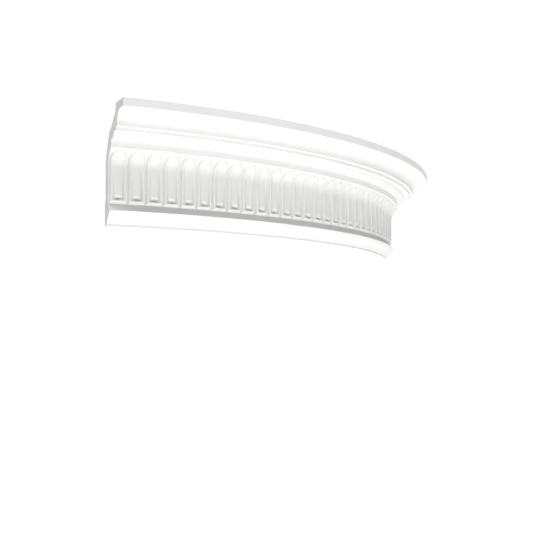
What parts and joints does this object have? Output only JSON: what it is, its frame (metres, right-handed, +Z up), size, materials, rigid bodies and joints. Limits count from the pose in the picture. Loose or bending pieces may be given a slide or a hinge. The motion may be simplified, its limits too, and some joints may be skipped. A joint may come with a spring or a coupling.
{
  "type": "cornice moulding length",
  "caption": "Length of coved cornice moulding with a band of arched flutes, bent to fit the top of a convex curved wall where it meets the ceiling.",
  "frame": {"origin": "middle of the bounding box in plan, at the height of the underside of the bottom lip", "axes": "+Z up the wall to the ceiling, -Y out from the wall at the middle of the length, +X along the length to the right as seen from the front"},
  "size_m": [0.718, 0.162, 0.13],
  "materials": {
    "cast_body": "matt white, primed for paint"
  },
  "bodies": {
    "root": {"cornice_moulding": "cast_body"}
  },
  "joints": []
}
